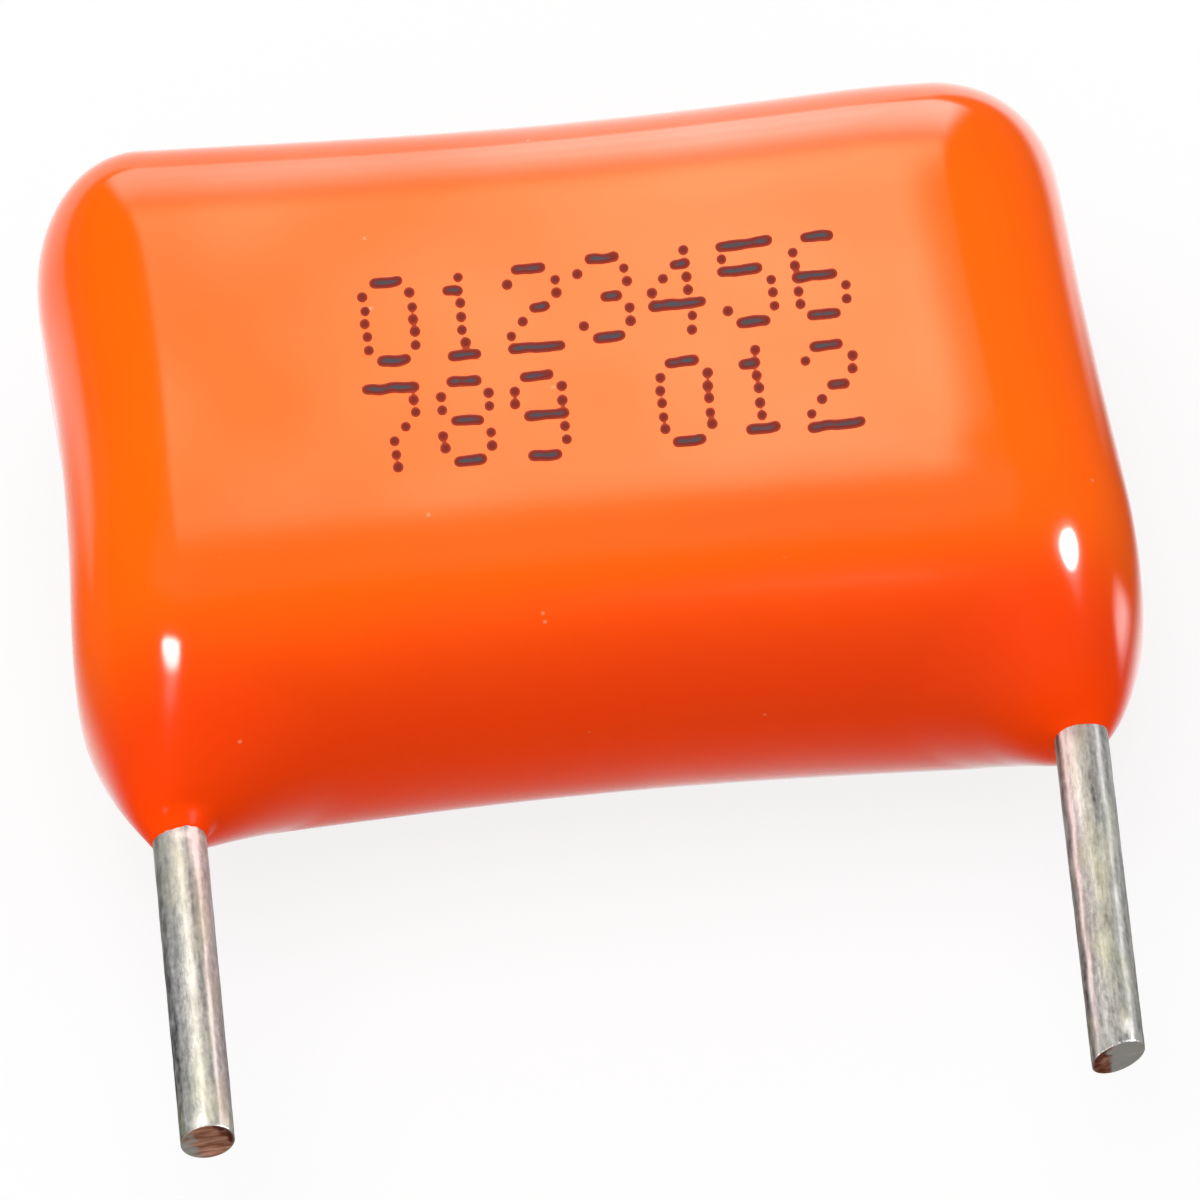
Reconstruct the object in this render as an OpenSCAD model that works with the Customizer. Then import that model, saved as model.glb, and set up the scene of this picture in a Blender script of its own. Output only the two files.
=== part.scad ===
// Radial film capacitor with a dipped epoxy coat. It lies on its back: the leads run side by side
// towards -Y, their pitch is along X, and the printed face looks up, along +Z.
// X = 0 is midway between the leads, Z = 0 is the surface that the coat lies on, and Y = 0 is
// halfway between the crown of the coat and the tip of the longer lead.

/* [Leads] */
// Distance between the axes of the two leads
lead_pitch = 10; // [7.5:0.5:15]
// Diameter of the tinned wire
lead_d = 0.6; // [0.5:0.05:0.8]
// Length of the left lead outside the coat
left_lead_out = 3.95; // [2:0.05:25]
// Length of the right lead outside the coat
right_lead_out = 4.2; // [2:0.05:25]
// Thickness of the wire where it is pressed flat for welding
lead_flat_t = 0.35; // [0.25:0.05:0.45]
// Width of the wire where it is pressed flat
lead_flat_w = 0.8; // [0.7:0.05:1.2]
// Length of the taper from round wire to flat
lead_taper = 0.7; // [0.4:0.05:1]
// How far the flat end of a lead lies up the end spray
weld_reach = 4.6; // [2:0.1:6]

/* [Winding] */
// Height of the flattened roll of film, from foot to crown
winding_h = 6.4; // [5:0.1:12]
// Thickness of the flattened roll
winding_t = 3.8; // [2.4:0.1:4.4]
// Height of the slit that the mandrel leaves in the middle of the roll
slit_h = 2; // [0.5:0.1:2.4]
// Width of that slit
slit_t = 0.1; // [0.05:0.01:0.3]

/* [End spray] */
// Thickness of the zinc sprayed on each end of the roll
spray_t = 0.4; // [0.2:0.05:0.8]
// Radius of the spray's rounded rim
spray_rim = 0.18; // [0.05:0.01:0.19]

/* [Coat thickness] */
// Coat over the front and back of the roll
coat_face = 0.6; // [0.45:0.05:1.2]
// Coat over the crown of the roll
coat_crown = 0.775; // [0.5:0.025:1.5]
// Coat under the foot of the roll
coat_foot = 0.775; // [0.5:0.025:1.5]
// Coat beyond the flat of each lead
coat_end = 0.85; // [0.7:0.05:1.6]

/* [Coat form] */
// How far in from each end the coat starts to round off
end_run = 1.4; // [0.8:0.1:2]
// Drop of the crown at the left end
left_crown_drop = 1.7; // [0.6:0.05:1.9]
// Drop of the crown at the right end
right_crown_drop = 1.05; // [0.6:0.05:1.9]
// Rise of the foot at the left end
left_foot_rise = 1.45; // [0.6:0.05:1.9]
// Rise of the foot at the right end
right_foot_rise = 1.75; // [0.6:0.05:1.9]
// Thinning of the coat at each end, on the front and on the back
face_drop = 1.75; // [0.8:0.05:2]
// Reach of the round along the crown edge
crown_round = 2.4; // [2:0.05:2.8]
// Reach of the round along the foot edge
foot_round = 2.35; // [2:0.05:2.8]
// Fullness of the edge rounds: 2 is an ellipse, and more is squarer
edge_full = 2.5; // [2:0.1:3]
// Fullness of the end rounds
end_full = 2; // [2:0.1:3]

/* [Flow of the epoxy] */
// Draw-in at mid width: crown side
crown_waist = 0.15; // [0:0.01:0.3]
// Draw-in at mid width: foot side
foot_waist = 0.18; // [0:0.01:0.3]
// Draw-in at mid width: front and back
face_waist = 0.08; // [0:0.01:0.15]
// Draw-in of the left end
left_waist = 0.17; // [0:0.01:0.25]
// Height of the left end's draw-in above mid height
left_waist_up = -0.4; // [-1.5:0.1:1.5]
// Draw-in of the right end
right_waist = 0.1; // [0:0.01:0.25]
// Height of the right end's draw-in above mid height
right_waist_up = 1.4; // [-1.5:0.1:1.5]
// How much narrower each end is at the crown
crown_taper = 0.26; // [0:0.02:0.4]
// Lean of the coat to the left of the leads, in degrees
coat_lean = 1.8; // [-2:0.05:2]
// Tilt of the crown, down to the right, in degrees
coat_tilt = 0.95; // [-1.5:0.05:1.5]
// Offset of the coat to the left of the roll
coat_offset = 0.17; // [-0.2:0.01:0.2]

/* [Skirts] */
// Droop of the foot towards each lead
foot_droop = 0.3; // [0:0.05:0.35]
// How far that droop spreads along the foot, either side of a lead
droop_reach = 1.5; // [1:0.1:2.5]
// How far it spreads towards the front and the back
droop_depth = 1.9; // [1:0.1:2.4]
// Length of the epoxy that runs down the left lead
left_skirt = 0.83; // [0.4:0.01:1.5]
// Length of the epoxy that runs down the right lead
right_skirt = 0.48; // [0.4:0.01:1.5]
// Radius of a skirt at its root
skirt_r = 0.82; // [0.6:0.02:0.9]
// Thickness of a skirt's lip round the wire
skirt_lip = 0.03; // [0.02:0.01:0.1]

/* [Hidden] */

// Resolution of the coat: sections across each end round, sections between them, steps round
// each quarter of a section, and steps along each flat side
end_steps = 8;
middle_steps = 16;
quarter_steps = 11;
flat_steps = 5;
$fn = 64;

// Along X: the welded flats are centred on the lead pitch, the spray fills the room inside them
// and the roll fills the room between the two layers of spray.
lead_x = lead_pitch / 2;
weld_x = lead_x - lead_flat_t / 2;
roll_end_x = weld_x - spray_t;
coat_half_w = lead_x + lead_flat_t / 2 + coat_end;
shoulder_x = coat_half_w - end_run;
shoulder_waist = hump(shoulder_x / coat_half_w);

// Along Y, from the middle of the roll
roll_half_h = winding_h / 2;
crown_y = roll_half_h + coat_crown;
foot_y = roll_half_h + coat_foot;
coat_half_h = (crown_y + foot_y) / 2;
tilt_at_leads = lead_x * tan(coat_tilt);
left_exit = foot_y - tilt_at_leads - foot_clear(left_foot_rise) + left_skirt;
right_exit = foot_y + tilt_at_leads - foot_clear(right_foot_rise) + right_skirt;
left_tip = left_exit + left_lead_out;
right_tip = right_exit + right_lead_out;
weld_top = weld_reach - roll_half_h;
skirt_root = 1;

// Along Z
coat_half_t = winding_t / 2 + coat_face;
mid_z = coat_half_t - face_waist * shoulder_waist;

// The round of the wire ends just inside the lip of the skirt.
round_in = 0.15;

// How far the cutter for the slit runs past each end of the roll
slit_past = 0.5;

// The middle of the roll, placed so that crown and longer lead tip lie equally far from Y = 0.
top_reach = crown_y + shoulder_x * tan(coat_tilt) - crown_waist * shoulder_waist;
roll_y = (max(left_tip, right_tip) - top_reach) / 2;

// How far the foot has already risen at a lead
function foot_clear(rise) = rise * (1 - end_share(lead_x));

// Share of the full section that is left at a distance x from the middle of the coat
function end_share(x) =
    let (into = max(0, abs(x) - shoulder_x) / end_run)
    pow(max(0, 1 - pow(min(1, into), end_full)), 1 / end_full);

// A smooth hump: 1 in the middle, 0 beyond one unit either way
function hump(u) = abs(u) < 1 ? pow(1 - u * u, 2) : 0;

// One section of the coat as [y, z] points, from the crown round the front to the foot and back
function section(share, crown_drop, foot_rise) =
    let (
        lost = 1 - share,
        crown_reach = crown_round - crown_drop * lost,
        foot_reach = foot_round - foot_rise * lost,
        crown_centre = crown_y - crown_round,
        foot_centre = foot_round - foot_y,
        half_t = coat_half_t - min(face_drop, 0.8 * coat_half_t) * lost,
        power = 2 / edge_full,
        crown = [for (i = [0 : quarter_steps])
            let (a = 90 * i / quarter_steps)
            [crown_centre + crown_reach * pow(cos(a), power), half_t * pow(sin(a), power)]],
        flat = [for (i = [1 : flat_steps - 1])
            [crown_centre + (foot_centre - crown_centre) * i / flat_steps, half_t]],
        foot = [for (i = [quarter_steps : -1 : 0])
            let (a = 90 * i / quarter_steps)
            [foot_centre - foot_reach * pow(cos(a), power), half_t * pow(sin(a), power)]],
        front = concat(crown, flat, foot),
        last = len(front) - 1
    )
    concat(front, [for (i = [last - 1 : -1 : 1]) [front[i][0], -front[i][1]]]);

// Where the dipped coat flowed: drawn in at its waists, tapered, leaning, tilted, and drooping
// towards the leads
function flowed(x, y, z) =
    let (
        u = x / coat_half_w,
        v = y / coat_half_h,
        side_y = y > 0 ? crown_waist / crown_y : foot_waist / foot_y,
        side_x = x > 0
            ? right_waist * hump(v - right_waist_up / coat_half_h)
            : left_waist * hump(v - left_waist_up / coat_half_h),
        y1 = y * (1 - side_y * hump(u)),
        z1 = z * (1 - face_waist / coat_half_t * hump(u)),
        x1 = x * (1 - (side_x + crown_taper * (v + 1) / 2) / coat_half_w),
        x2 = x1 - y1 * tan(coat_lean) - coat_offset,
        near_lead = hump((abs(x2) - lead_x) / droop_reach) * hump(z1 / droop_depth),
        droop = foot_droop * near_lead * pow(max(0, -v), 2)
    )
    [x2, y1 - x1 * tan(coat_tilt) - droop, z1];

// Sections along the width, as [x, share] pairs
function round_off(i) =
    let (a = 90 * i / end_steps)
    [shoulder_x + end_run * pow(sin(a), 2 / end_full), pow(max(0, cos(a)), 2 / end_full)];
function stations() = concat(
    [for (i = [end_steps : -1 : 1]) [-round_off(i)[0], round_off(i)[1]]],
    [for (i = [0 : middle_steps]) [shoulder_x * (2 * i / middle_steps - 1), 1]],
    [for (i = [1 : end_steps]) round_off(i)]
);

// The skin of the coat: a loft through all the sections, with a strip of faces over each end
module coat_skin() {
    rows = [for (s = stations())
        let (left = s[0] < 0)
        [for (p = section(s[1], left ? left_crown_drop : right_crown_drop,
                          left ? left_foot_rise : right_foot_rise))
            flowed(s[0], p[0], p[1])]];
    n = len(rows[0]);
    last = len(rows) - 1;
    points = [for (row = rows) each row];
    sides = [for (i = [0 : last - 1], k = [0 : n - 1])
        let (a = i * n + k, b = i * n + (k + 1) % n)
        each [[a, b + n, b], [a, a + n, b + n]]];
    left_end = [for (k = [0 : n / 2 - 1])
        let (a = k, b = k + 1, c = (n - k - 1) % n, d = (n - k) % n)
        each (k == 0 ? [[a, b, c]] : k == n / 2 - 1 ? [[a, b, d]] : [[a, b, c], [a, c, d]])];
    right_end = [for (f = left_end) [f[0] + last * n, f[2] + last * n, f[1] + last * n]];
    polyhedron(points = points, faces = concat(sides, left_end, right_end), convexity = 4);
}

// A solid turned about a lead's axis: [radius, distance from the middle of the roll] points
module turned_on_lead(outline) {
    rotate([90, 0, 0]) rotate_extrude() polygon(outline);
}

// The skirt that the epoxy forms where it ran down a lead
module skirt(exit_y) {
    steps = 8;
    reach = exit_y - foot_y + skirt_root;
    lip = lead_d / 2 + skirt_lip;
    turned_on_lead(concat(
        [[0, exit_y - reach], [0, exit_y]],
        [for (i = [0 : steps])
            [lip + (skirt_r - lip) * (1 - pow(1 - i / steps, 2)), exit_y - reach * i / steps]]
    ));
}

// A flat-sided roll or plate with round ends, standing along X from its back face; rim rounds
// the edge of the far face
module stadium_block(h, t, length, rim) {
    steps = 6;
    r = t / 2;
    straight = h - t;
    edge = rim > 0
        ? [for (i = [0 : steps]) let (a = 90 * i / steps) [r - rim + rim * cos(a), length - rim + rim * sin(a)]]
        : [[r, length]];
    half = concat([[0, 0], [r, 0]], edge, [[0, length]]);
    rotate([0, 90, 0]) {
        for (side = [-1, 1])
            translate([0, side * straight / 2, 0]) rotate_extrude() polygon(half);
        rotate([90, 0, 0]) linear_extrude(straight, center = true) {
            polygon(half);
            mirror([1, 0]) polygon(half);
        }
    }
}

// The roll of film, from one layer of spray to the other
module roll() {
    translate([-roll_end_x, 0, 0]) stadium_block(winding_h, winding_t, 2 * roll_end_x, 0);
}

// The sprayed zinc on the right end of the roll
module spray() {
    translate([roll_end_x, 0, 0]) stadium_block(winding_h, winding_t, spray_t, spray_rim);
}

// A lead on its own axis: round outside, pressed flat along the spray
module wire(exit_y, tip_y) {
    taper_y = exit_y - round_in;
    flat_y = taper_y - lead_taper;
    sliver = 0.01;
    rotate([90, 0, 0]) {
        translate([0, 0, taper_y]) cylinder(d = lead_d, h = tip_y - taper_y);
        hull() {
            translate([0, 0, taper_y - sliver]) cylinder(d = lead_d, h = sliver, $fn = 32);
            translate([0, 0, flat_y]) cube([lead_flat_t, lead_flat_w, sliver], center = true);
        }
    }
    translate([-lead_flat_t / 2, -flat_y, -lead_flat_w / 2])
        cube([lead_flat_t, flat_y + weld_top, lead_flat_w]);
}

// The space that the pieces inside the coat take up
module inner_pieces() {
    roll();
    spray();
    mirror([1, 0, 0]) spray();
    translate([-lead_x, 0, 0]) wire(left_exit, left_tip);
    translate([lead_x, 0, 0]) wire(right_exit, right_tip);
}

// Everything is drawn about the middle of the roll and set down in its place.
module in_place() {
    translate([0, roll_y, mid_z]) children();
}

module coating() {
    color("orangered") in_place() difference() {
        union() {
            coat_skin();
            translate([-lead_x, 0, 0]) skirt(left_exit);
            translate([lead_x, 0, 0]) skirt(right_exit);
        }
        inner_pieces();
    }
}

module film_winding() {
    color("gainsboro") in_place() difference() {
        roll();
        cube([2 * (roll_end_x + slit_past), slit_h, slit_t], center = true);
    }
}

module left_end_spray() {
    color("slategray") in_place() mirror([1, 0, 0]) spray();
}

module right_end_spray() {
    color("slategray") in_place() spray();
}

module left_lead() {
    color("silver") in_place() translate([-lead_x, 0, 0]) wire(left_exit, left_tip);
}

module right_lead() {
    color("silver") in_place() translate([lead_x, 0, 0]) wire(right_exit, right_tip);
}

coating();
film_winding();
left_end_spray();
right_end_spray();
left_lead();
right_lead();
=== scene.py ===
import math
import random

import bpy
import numpy as np
from mathutils import Matrix, Vector, noise
from mathutils.bvhtree import BVHTree


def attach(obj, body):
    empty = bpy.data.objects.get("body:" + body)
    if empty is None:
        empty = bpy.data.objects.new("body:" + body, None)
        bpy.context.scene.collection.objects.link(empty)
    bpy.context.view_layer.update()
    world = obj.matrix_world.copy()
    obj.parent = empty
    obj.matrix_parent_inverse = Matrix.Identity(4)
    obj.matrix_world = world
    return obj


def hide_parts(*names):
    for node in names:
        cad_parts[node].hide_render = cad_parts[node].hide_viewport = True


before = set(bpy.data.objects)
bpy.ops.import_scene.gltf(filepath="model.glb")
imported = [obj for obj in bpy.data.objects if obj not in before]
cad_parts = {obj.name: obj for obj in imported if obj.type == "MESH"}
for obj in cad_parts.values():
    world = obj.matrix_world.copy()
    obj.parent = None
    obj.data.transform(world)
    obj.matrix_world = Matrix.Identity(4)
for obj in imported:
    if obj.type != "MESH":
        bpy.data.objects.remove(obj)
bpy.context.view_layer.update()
print("frame loaded:", ", ".join(sorted(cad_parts)))

scene = bpy.context.scene
mm = 0.001  # shapes are worked out in millimetres and made in metres

cameraSettings = {
    "target": (0.0, -2.192, 2.4865),  # point that the lens looks past, in mm
    "elevation": 55.0,
    "roll": 6.0,
    "distance": 300.0,
    "lens": 816.6,
    "slideRight": -0.3345,
    "slideUp": 2.0857,
}


def addCamera(settings):
    lift, roll = math.radians(settings["elevation"]), math.radians(settings["roll"])
    back = Vector((0, -math.cos(lift), math.sin(lift)))
    levelRight, levelUp = Vector((1, 0, 0)), Vector((0, math.sin(lift), math.cos(lift)))
    right = levelRight * math.cos(roll) - levelUp * math.sin(roll)
    up = levelRight * math.sin(roll) + levelUp * math.cos(roll)
    spot = Vector(settings["target"]) + back * settings["distance"]
    spot += right * settings["slideRight"] + up * settings["slideUp"]
    lensData = bpy.data.cameras.new("camera")
    lensData.lens = settings["lens"]
    lensData.sensor_width = 36.0
    lensData.clip_start = 0.01
    lensData.clip_end = 10.0
    camera = bpy.data.objects.new("camera", lensData)
    turn = Matrix((right, up, back)).transposed()
    camera.matrix_world = Matrix.Translation(spot * mm) @ turn.to_4x4()
    scene.collection.objects.link(camera)
    scene.camera = camera


addCamera(cameraSettings)
print("camera placed")


def makePiece(name, points, faces, materials=()):
    # points in mm; every polygon is smooth
    mesh = bpy.data.meshes.new(name)
    mesh.from_pydata((np.asarray(points, float) * mm).tolist(), [], faces)
    mesh.validate()
    for material in materials:
        mesh.materials.append(material)
    mesh.shade_smooth()
    piece = bpy.data.objects.new(name, mesh)
    scene.collection.objects.link(piece)
    return piece


def hump(u):
    return np.where(np.abs(u) < 1, (1 - np.minimum(u * u, 1)) ** 2, 0)


def smoothStep(value):
    t = np.clip(value, 0, 1)
    return t * t * (3 - 2 * t)


# Shared shader effects, each a node group built once


def startGroup(name, inputs, outputs):
    tree = bpy.data.node_groups.new(name, "ShaderNodeTree")
    for label, kind, value in inputs:
        socket = tree.interface.new_socket(name=label, in_out="INPUT", socket_type="NodeSocket" + kind)
        if value is not None:
            socket.default_value = value
    for label, kind in outputs:
        tree.interface.new_socket(name=label, in_out="OUTPUT", socket_type="NodeSocket" + kind)
    return tree, tree.nodes.new("NodeGroupInput"), tree.nodes.new("NodeGroupOutput")


def addNode(tree, kind, settings=None, **links):
    # settings go on the node; links fill its inputs, with a socket or a plain value
    node = tree.nodes.new("ShaderNode" + kind)
    for key, value in (settings or {}).items():
        setattr(node, key, value)
    for key, value in links.items():
        label = key.replace("_", " ")
        socket = node.inputs[int(key[1:])] if key[0] == "i" and key[1:].isdigit() else node.inputs[label]
        if isinstance(value, bpy.types.NodeSocket):
            tree.links.new(value, socket)
        else:
            socket.default_value = value
    return node


def buildMottle():
    # uneven patches, which can be drawn out along one axis
    tree, start, end = startGroup(
        "mottle",
        [("Vector", "Vector", None), ("Stretch", "Vector", (1, 1, 1)), ("Scale", "Float", 1000.0),
         ("Detail", "Float", 4.0), ("Low", "Float", 0.4), ("High", "Float", 0.6)],
        [("Mask", "Float"), ("Value", "Float")],
    )
    drawn = addNode(tree, "VectorMath", {"operation": "MULTIPLY"},
                    i0=start.outputs["Vector"], i1=start.outputs["Stretch"])
    cloud = addNode(tree, "TexNoise", None, Vector=drawn.outputs[0], Scale=start.outputs["Scale"],
                    Detail=start.outputs["Detail"], Roughness=0.55)
    ramp = addNode(tree, "MapRange", {"interpolation_type": "SMOOTHSTEP"}, Value=cloud.outputs[0],
                   From_Min=start.outputs["Low"], From_Max=start.outputs["High"])
    tree.links.new(ramp.outputs[0], end.inputs["Mask"])
    tree.links.new(cloud.outputs[0], end.inputs["Value"])
    return tree


def buildSpecks():
    # scattered grains of dust
    tree, start, end = startGroup(
        "dustSpecks",
        [("Vector", "Vector", None), ("Scale", "Float", 4000.0),
         ("Size", "Float", 0.2), ("Share", "Float", 0.15)],
        [("Mask", "Float")],
    )
    cells = addNode(tree, "TexVoronoi", None, Vector=start.outputs["Vector"],
                    Scale=start.outputs["Scale"], Randomness=1.0)
    grain = addNode(tree, "MapRange", {"interpolation_type": "SMOOTHSTEP"}, Value=cells.outputs["Distance"],
                    From_Min=start.outputs["Size"], From_Max=0.02, To_Min=0.0, To_Max=1.0)
    pick = addNode(tree, "SeparateColor", None, Color=cells.outputs["Color"])
    kept = addNode(tree, "Math", {"operation": "LESS_THAN"}, i0=pick.outputs[0], i1=start.outputs["Share"])
    mask = addNode(tree, "Math", {"operation": "MULTIPLY"}, i0=grain.outputs[0], i1=kept.outputs[0])
    tree.links.new(mask.outputs[0], end.inputs["Mask"])
    return tree


mottle, dustSpecks = buildMottle(), buildSpecks()


def startMaterial(name, **shader):
    material = bpy.data.materials.new(name)
    material.use_nodes = True
    tree = material.node_tree
    surface = tree.nodes["Principled BSDF"]
    for key, value in shader.items():
        surface.inputs[key.replace("_", " ")].default_value = value
    spot = tree.nodes.new("ShaderNodeTexCoord").outputs["Object"]
    return material, tree, surface, spot


def addGroup(tree, group, **links):
    return addNode(tree, "Group", {"node_tree": group}, **links)


def mixColours(tree, share, first, second):
    node = addNode(tree, "Mix", {"data_type": "RGBA"}, i0=share)
    for socket, value in ((node.inputs[6], first), (node.inputs[7], second)):
        if isinstance(value, bpy.types.NodeSocket):
            tree.links.new(value, socket)
        else:
            socket.default_value = (*value, 1)
    return node.outputs[2]


def remap(tree, value, low, high, fromLow=0.0, fromHigh=1.0, smooth=False):
    settings = {"interpolation_type": "SMOOTHSTEP"} if smooth else None
    return addNode(tree, "MapRange", settings, Value=value, From_Min=fromLow, From_Max=fromHigh,
                   To_Min=low, To_Max=high).outputs[0]


def swayBy(tree, patches, amount):
    # uneven patches that push a value up and down by this much
    return remap(tree, patches.outputs["Value"], -amount, amount, 0.3, 0.7)


def addMath(tree, operation, first, second):
    return addNode(tree, "Math", {"operation": operation}, i0=first, i1=second).outputs[0]


def tintBy(tree, mask, share, base, colour):
    return mixColours(tree, addMath(tree, "MULTIPLY", mask, share), base, colour)


def finishMaterial(tree, surface, base, roughness, height, strength, depth):
    bump = addNode(tree, "Bump", None, Strength=strength, Distance=depth, Height=height)
    for value, label in ((base, "Base Color"), (roughness, "Roughness"), (bump.outputs[0], "Normal")):
        tree.links.new(value, surface.inputs[label])


coatSettings = {
    "rollY": 2.3238,
    "middleZ": 2.4865,
    "halfWidth": 6.025,
    "halfThickness": 2.5,
    "crownY": 3.975,
    "footY": 3.975,
    "endRun": 1.4,
    "crownDrop": (1.7, 1.05),  # left end, right end
    "footRise": (1.45, 1.75),
    "faceDrop": 1.75,
    "crownRound": 2.4,
    "footRound": 2.35,
    "edgeFull": 2.5,
    "crownWaist": 0.15,
    "footWaist": 0.18,
    "faceWaist": 0.08,
    "faceFall": (3.4, 4.7, 5.3, 0.14),  # the right end of the face slopes: from, in full, until, slope
    "faceFallEase": 0.6,
    "sideWaist": (0.17, 0.1),
    "sideWaistUp": (-0.4, 1.4),
    "crownTaper": 0.26,
    "lean": 1.8,
    "tilt": 0.95,
    "offset": 0.17,
    "droop": (0.65, 0.45),
    "droopReach": (1.9, 1.1),  # towards the middle, outwards
    "droopDepth": 1.86,
    "droopPower": 1.3,
    "leadX": 5.0,
    "wireRadius": 0.3,
    "exits": (4.6691, 4.4739),  # where each wire leaves its skirt, below the middle of the roll
    "flare": ((0.0, 0.55), (0.1, 0.42)),  # how far the epoxy follows each wire, on its inner and outer side
    "flareReach": (1.2, 1.05),
    "flareDepth": 1.6,
    "flareStart": (0.3, 0.4),  # share of the way down where the flare sets in, and its run until it is full
    "lip": (0.19, 0.03),
    "lipReach": 0.16,
    "dullReach": 1.3,
    "dullGain": 1.6,
    # how finely the mesh is cut
    "sections": (49, 30, 47),  # round each end, beside the middle, over the middle
    "middleSpan": 3.4,
    "ringSteps": (27, 23, 21),  # each arc, the rest of the foot's arc, the flat
    "fineFoot": 0.45,
    "capSteps": 10,
    # the finish
    "orange": ((0.98, 0.117, 0.0012), (0.97, 0.107, 0.0010)),
    # painted shade on the foot: a darker, redder orange
    "footShadeOrange": (0.96, 0.054, 0.0010),
    "footShadeFrom": (-0.0004, -0.0016),  # along Y in metres, where the painted shade of the foot starts and is full
    "footShadeWander": 0.0001,
    "dustColour": (0.95, 0.42, 0.22),
    "roughness": (0.12, 0.19),
    "dullRoughness": 0.07,
    "clearWeight": (0.4, 0.83),  # of the clear skin, at the left and at the right
    "clearFrom": (-0.0046, 0.003),  # along X in metres, between which the two weights blend
    "clearUneven": 0.13,
}


def fallOfFace(s, x):
    # how far the right end of the face slopes off, added up along a line out from the middle
    start, full, end, slope = s["faceFall"]
    line, step = np.linspace(0, 7, 701, retstep=True)
    steepness = slope * smoothStep((line - start) / (full - start))
    steepness = steepness * smoothStep((end - line) / s["faceFallEase"])
    return np.interp(x, line, np.cumsum(steepness) * step)


def flowCoat(s, x, y, z):
    # where the epoxy flowed while it hung and cured
    right = x > 0

    def bySide(pair):
        return np.where(right, pair[1], pair[0])

    # the waists of the long sides, the ends and the face
    u, v = x / s["halfWidth"], y / s["crownY"]
    sideY = np.where(y > 0, s["crownWaist"] / s["crownY"], s["footWaist"] / s["footY"])
    sideX = bySide(s["sideWaist"]) * hump(v - bySide(s["sideWaistUp"]) / s["crownY"])
    y1 = y * (1 - sideY * hump(u))
    z1 = z * (1 - (s["faceWaist"] * hump(u) + fallOfFace(s, x)) / s["halfThickness"])
    x1 = x * (1 - (sideX + s["crownTaper"] * (v + 1) / 2) / s["halfWidth"])
    x2 = x1 - y1 * math.tan(math.radians(s["lean"])) - s["offset"]
    beyond = np.abs(x2) - s["leadX"]
    fromWire = np.hypot(beyond, z1)

    def away(reach, depth):
        return np.hypot(beyond / np.where(beyond > 0, reach[1], reach[0]), z1 / depth)

    # it drooped towards each wire
    nearWire = np.clip(1 - away(s["droopReach"], s["droopDepth"]), 0, 1) ** s["droopPower"]
    droop = bySide(s["droop"]) * nearWire * np.maximum(0, -v) ** 2
    y2 = y1 - x1 * math.tan(math.radians(s["tilt"])) - droop
    # and followed it, further down on its outer side, to a small lip
    outward = (1 + beyond / np.maximum(fromWire, 0.01)) / 2
    inner, outer = (bySide(pair) for pair in zip(*s["flare"]))
    flare = inner + (outer - inner) * outward**2
    flare = flare * np.clip(1 - away(s["flareReach"], s["flareDepth"]) ** 2, 0, 1) ** 1.5
    lip = bySide(s["lip"]) * (1 - outward**2)
    flare += lip * np.clip(1 - (fromWire - s["wireRadius"]) / s["lipReach"], 0, 1) ** 2
    start, run = s["flareStart"]
    return x2, y2 - flare * smoothStep((-v - start) / run), z1


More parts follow.
